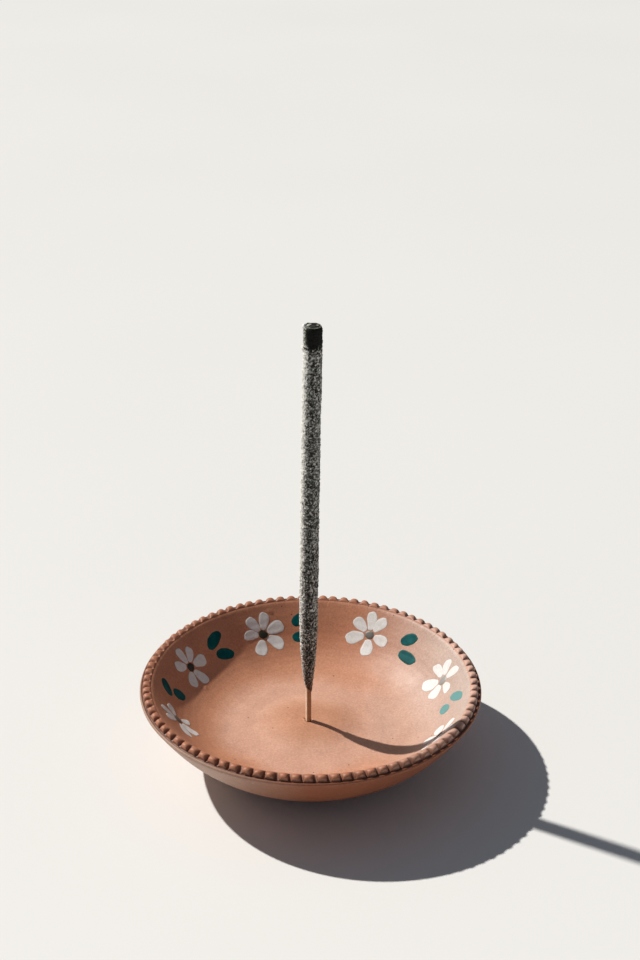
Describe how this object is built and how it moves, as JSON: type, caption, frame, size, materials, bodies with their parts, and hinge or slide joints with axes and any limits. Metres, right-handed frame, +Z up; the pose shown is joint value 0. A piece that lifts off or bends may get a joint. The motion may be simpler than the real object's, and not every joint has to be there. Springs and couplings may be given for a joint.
{
  "type": "incense burner",
  "caption": "Round clay dish with a beaded rim and painted flowers, whose central hole holds an upright incense stick over the bowl that catches its ash.",
  "frame": {"origin": "centre of the dish's flat foot, on the surface it stands on", "axes": "+Z up along the stick, +X to the right and +Y to the back as the dish faces the viewer"},
  "size_m": [0.11, 0.11, 0.1483],
  "materials": {
    "terracotta": "satin",
    "bamboo": "matte",
    "incense": "matte",
    "char": "matte",
    "ash": "matte",
    "petal_paint": "gloss",
    "leaf_paint": "gloss",
    "centre_paint": "gloss"
  },
  "bodies": {
    "dish": {"dish": "terracotta"},
    "stick": {"bamboo_splint": "bamboo", "incense_coat": "incense", "charred_tip": "char", "charred_core": "char", "ash_ring": "ash"}
  },
  "joints": [
    {"name": "stick_lift", "type": "slide", "parent": "dish", "child": "stick", "axis": [0, 0, 1], "range_m": [0, 0.035]}
  ]
}
